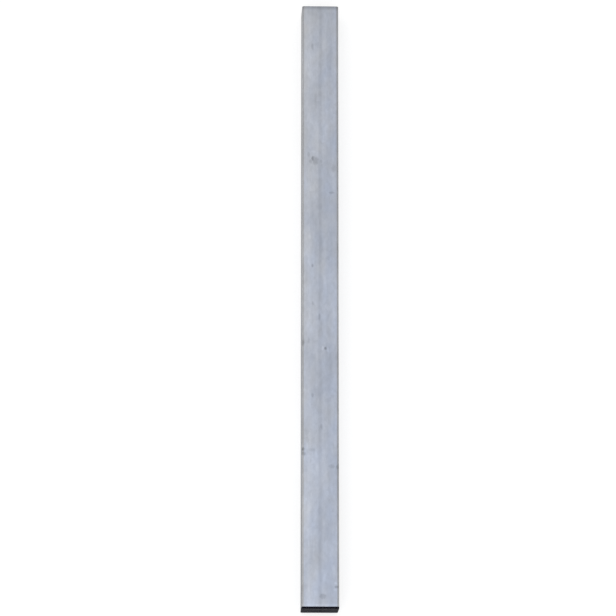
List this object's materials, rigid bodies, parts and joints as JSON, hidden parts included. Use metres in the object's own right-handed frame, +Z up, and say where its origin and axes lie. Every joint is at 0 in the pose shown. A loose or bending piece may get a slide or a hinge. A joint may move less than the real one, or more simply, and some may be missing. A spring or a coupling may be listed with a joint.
{
  "type": "galvanized square fence post",
  "caption": "Square galvanized steel tube post lying on its side, open at one end and closed at the other by a black ribbed plastic cap.",
  "frame": {"origin": "under the middle of the whole post, on the plane that the post lies on", "axes": "+Y along the post from its capped end to its open end, +Z up from the side that it lies on, +X across"},
  "size_m": [0.06, 1.003, 0.06],
  "materials": {
    "galvanized_steel": "hot-dip galvanized, matte bluish grey with soft lengthwise streaks and small scuffs",
    "black_plastic": "moulded polyethylene, fine matte texture"
  },
  "bodies": {
    "root": {"post_tube": "galvanized_steel", "end_cap": "black_plastic"}
  },
  "joints": []
}
